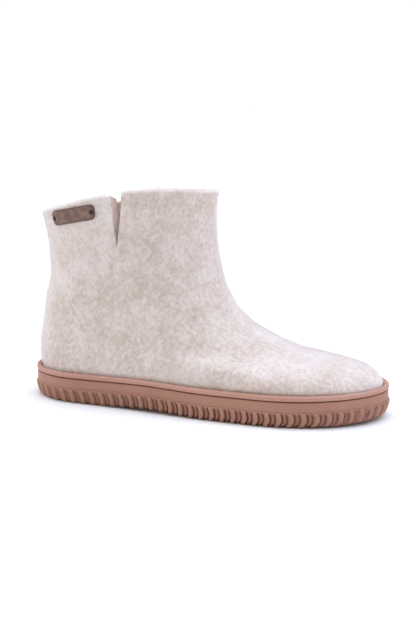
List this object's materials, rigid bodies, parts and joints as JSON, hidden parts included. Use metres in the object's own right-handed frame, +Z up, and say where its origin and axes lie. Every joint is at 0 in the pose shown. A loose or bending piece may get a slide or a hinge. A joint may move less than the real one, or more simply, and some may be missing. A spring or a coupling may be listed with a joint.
{
  "type": "wool boot",
  "caption": "Ankle boot of felted wool for the right foot: a hollow seamless upper with a V cut in its collar, on a rubber cup sole with a wave tread and ribbed side.",
  "frame": {"origin": "on the floor, under the middle of the sole's outline", "axes": "+X towards the toe, +Y towards the inner side of the right foot, +Z up"},
  "size_m": [0.2696, 0.1108, 0.1566],
  "materials": {
    "felt": "felted wool, pale heathered beige, matt and hairy",
    "sole_rubber": "moulded crepe-brown rubber, matt",
    "rand_rubber": "smooth brown rubber, satin",
    "footbed_felt": "felt, grey-brown, matt",
    "tag_leather": "brown leather, satin",
    "stud_metal": "dark lacquer"
  },
  "bodies": {
    "root": {"upper": "felt", "outsole": "sole_rubber", "rand": "rand_rubber", "insole": "footbed_felt", "tag": "tag_leather", "rivet_front": "stud_metal", "rivet_back": "stud_metal"}
  },
  "joints": []
}
